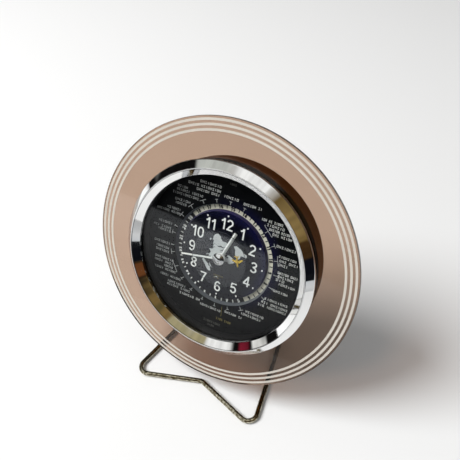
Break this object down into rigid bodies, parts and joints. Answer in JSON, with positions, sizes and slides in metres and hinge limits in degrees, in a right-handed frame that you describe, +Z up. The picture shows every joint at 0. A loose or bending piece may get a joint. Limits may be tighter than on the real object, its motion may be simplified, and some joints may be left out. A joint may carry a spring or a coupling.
{
  "type": "world time clock",
  "caption": "Round quartz world time clock with a twelve hour dial, a rotating day and night ring and a clear ringed disc, leaning on a bent wire stand.",
  "frame": {"origin": "centre of the footprint of the bounding box, on the table", "axes": "+Z up; the dial faces -Y and leans back 20 degrees towards +Y; +X is to the right of a reader facing the dial"},
  "size_m": [0.2, 0.0947, 0.204],
  "materials": {
    "clear_acrylic": "smoked clear acrylic, polished",
    "white_print": "screen-printed stripe",
    "bezel_chrome": "mirror chrome",
    "cap_chrome": "mirror chrome",
    "glass": "clear, polished",
    "seconds_clear": "clear, polished",
    "dial_black": "glossy black",
    "dial_navy": "glossy blue-black",
    "rehaut_black": "satin black",
    "frame_black": "moulded",
    "marker_white": "painted",
    "ring_print": "printed",
    "ring_carrier": "moulded",
    "barrel_brown": "moulded, satin gloss",
    "clamp_black": "moulded",
    "cover_black": "fine moulded grain",
    "knob_black": "knurled",
    "hand_white": "satin white",
    "gold": "polished gold",
    "brass": "turned",
    "nylon": "natural",
    "arbor_steel": "turned",
    "screw_steel": "zinc plated",
    "stator_iron": "stamped",
    "coil_copper": "wound enamelled wire",
    "board_green": "solder mask",
    "battery_shell": "wrapped",
    "contact_steel": "nickel plated",
    "magnet": "sintered",
    "stand_steel": "drawn and polished wire"
  },
  "bodies": {
    "case": {"acrylic_disc": "clear_acrylic", "disc_stripes": "white_print", "bezel": "bezel_chrome", "crystal": "glass", "rehaut_ring": "rehaut_black", "zone_dial": "dial_black", "hour_dial": "dial_navy", "hour_dots": "marker_white", "dial_post": "frame_black", "dial_frame": "frame_black", "clamp_ring": "clamp_black", "case_barrel": "barrel_brown", "rear_cover": "cover_black", "case_screws": "screw_steel", "movement_cover": "nylon", "movement_screws": "screw_steel", "stator": "stator_iron", "coil": "coil_copper", "circuit_board": "board_green", "battery": "battery_shell", "battery_contacts": "contact_steel"},
    "battery_door": {"battery_cover": "cover_black"},
    "stand": {"wire_stand": "stand_steel"},
    "minute": {"minute_hand": "hand_white", "cannon_pinion": "brass"},
    "hour": {"hour_hand": "hand_white", "hour_wheel": "brass"},
    "day_ring": {"day_night_ring": "ring_print", "ring_wheel": "ring_carrier"},
    "motion_wheel": {"minute_wheel": "nylon", "ring_pinion": "nylon"},
    "setting": {"setting_knob": "knob_black"},
    "seconds": {"seconds_disc": "seconds_clear", "aircraft": "gold", "hub_cap": "cap_chrome", "seconds_arbor": "arbor_steel"},
    "step_wheel": {"intermediate_wheel": "nylon"},
    "rotor": {"rotor": "magnet"},
    "third": {"third_wheel": "nylon"},
    "centre": {"centre_wheel": "brass"}
  },
  "joints": [
    {"name": "minute_turn", "type": "hinge", "parent": "case", "child": "minute", "pos_m": [0, 0.02043, 0.10326], "axis": [0, 0.9397, -0.342], "continuous": true},
    {"name": "hour_turn", "type": "hinge", "parent": "case", "child": "hour", "pos_m": [0, 0.02043, 0.10326], "axis": [0, 0.9397, -0.342], "continuous": true},
    {"name": "ring_turn", "type": "hinge", "parent": "case", "child": "day_ring", "pos_m": [0, 0.02043, 0.10326], "axis": [0, 0.9397, -0.342], "continuous": true},
    {"name": "motion_wheel_turn", "type": "hinge", "parent": "case", "child": "motion_wheel", "pos_m": [0.016, 0.02043, 0.10326], "axis": [0, 0.9397, -0.342], "continuous": true},
    {"name": "setting_turn", "type": "hinge", "parent": "case", "child": "setting", "pos_m": [0.016, 0.0259, 0.11829], "axis": [0, 0.9397, -0.342], "continuous": true},
    {"name": "seconds_turn", "type": "hinge", "parent": "case", "child": "seconds", "pos_m": [0, 0.02043, 0.10326], "axis": [0, 0.9397, -0.342], "continuous": true},
    {"name": "step_wheel_turn", "type": "hinge", "parent": "case", "child": "step_wheel", "pos_m": [0, 0.02426, 0.11378], "axis": [0, 0.9397, -0.342], "continuous": true},
    {"name": "rotor_turn", "type": "hinge", "parent": "case", "child": "rotor", "pos_m": [-0.00735, 0.02637, 0.11958], "axis": [0, 0.9397, -0.342], "continuous": true},
    {"name": "third_turn", "type": "hinge", "parent": "case", "child": "third", "pos_m": [-0.0108, 0.02043, 0.10326], "axis": [0, 0.9397, -0.342], "continuous": true},
    {"name": "centre_turn", "type": "hinge", "parent": "case", "child": "centre", "pos_m": [0, 0.02043, 0.10326], "axis": [0, 0.9397, -0.342], "continuous": true},
    {"name": "battery_cover_pull", "type": "slide", "parent": "case", "child": "battery_door", "axis": [0, 0.9397, -0.342], "range_m": [0, 0.04]},
    {"name": "stand_pull", "type": "slide", "parent": "case", "child": "stand", "axis": [0, 0.9397, -0.342], "range_m": [0, 0.03]}
  ],
  "couplings": [
    {"joint": "hour_turn", "follows": "minute_turn", "ratio": 0.083333},
    {"joint": "ring_turn", "follows": "minute_turn", "ratio": 0.041667},
    {"joint": "motion_wheel_turn", "follows": "minute_turn", "ratio": -0.33333},
    {"joint": "setting_turn", "follows": "minute_turn", "ratio": 1},
    {"joint": "step_wheel_turn", "follows": "seconds_turn", "ratio": -6},
    {"joint": "rotor_turn", "follows": "seconds_turn", "ratio": 30},
    {"joint": "third_turn", "follows": "seconds_turn", "ratio": -0.125},
    {"joint": "centre_turn", "follows": "seconds_turn", "ratio": 0.016667}
  ]
}
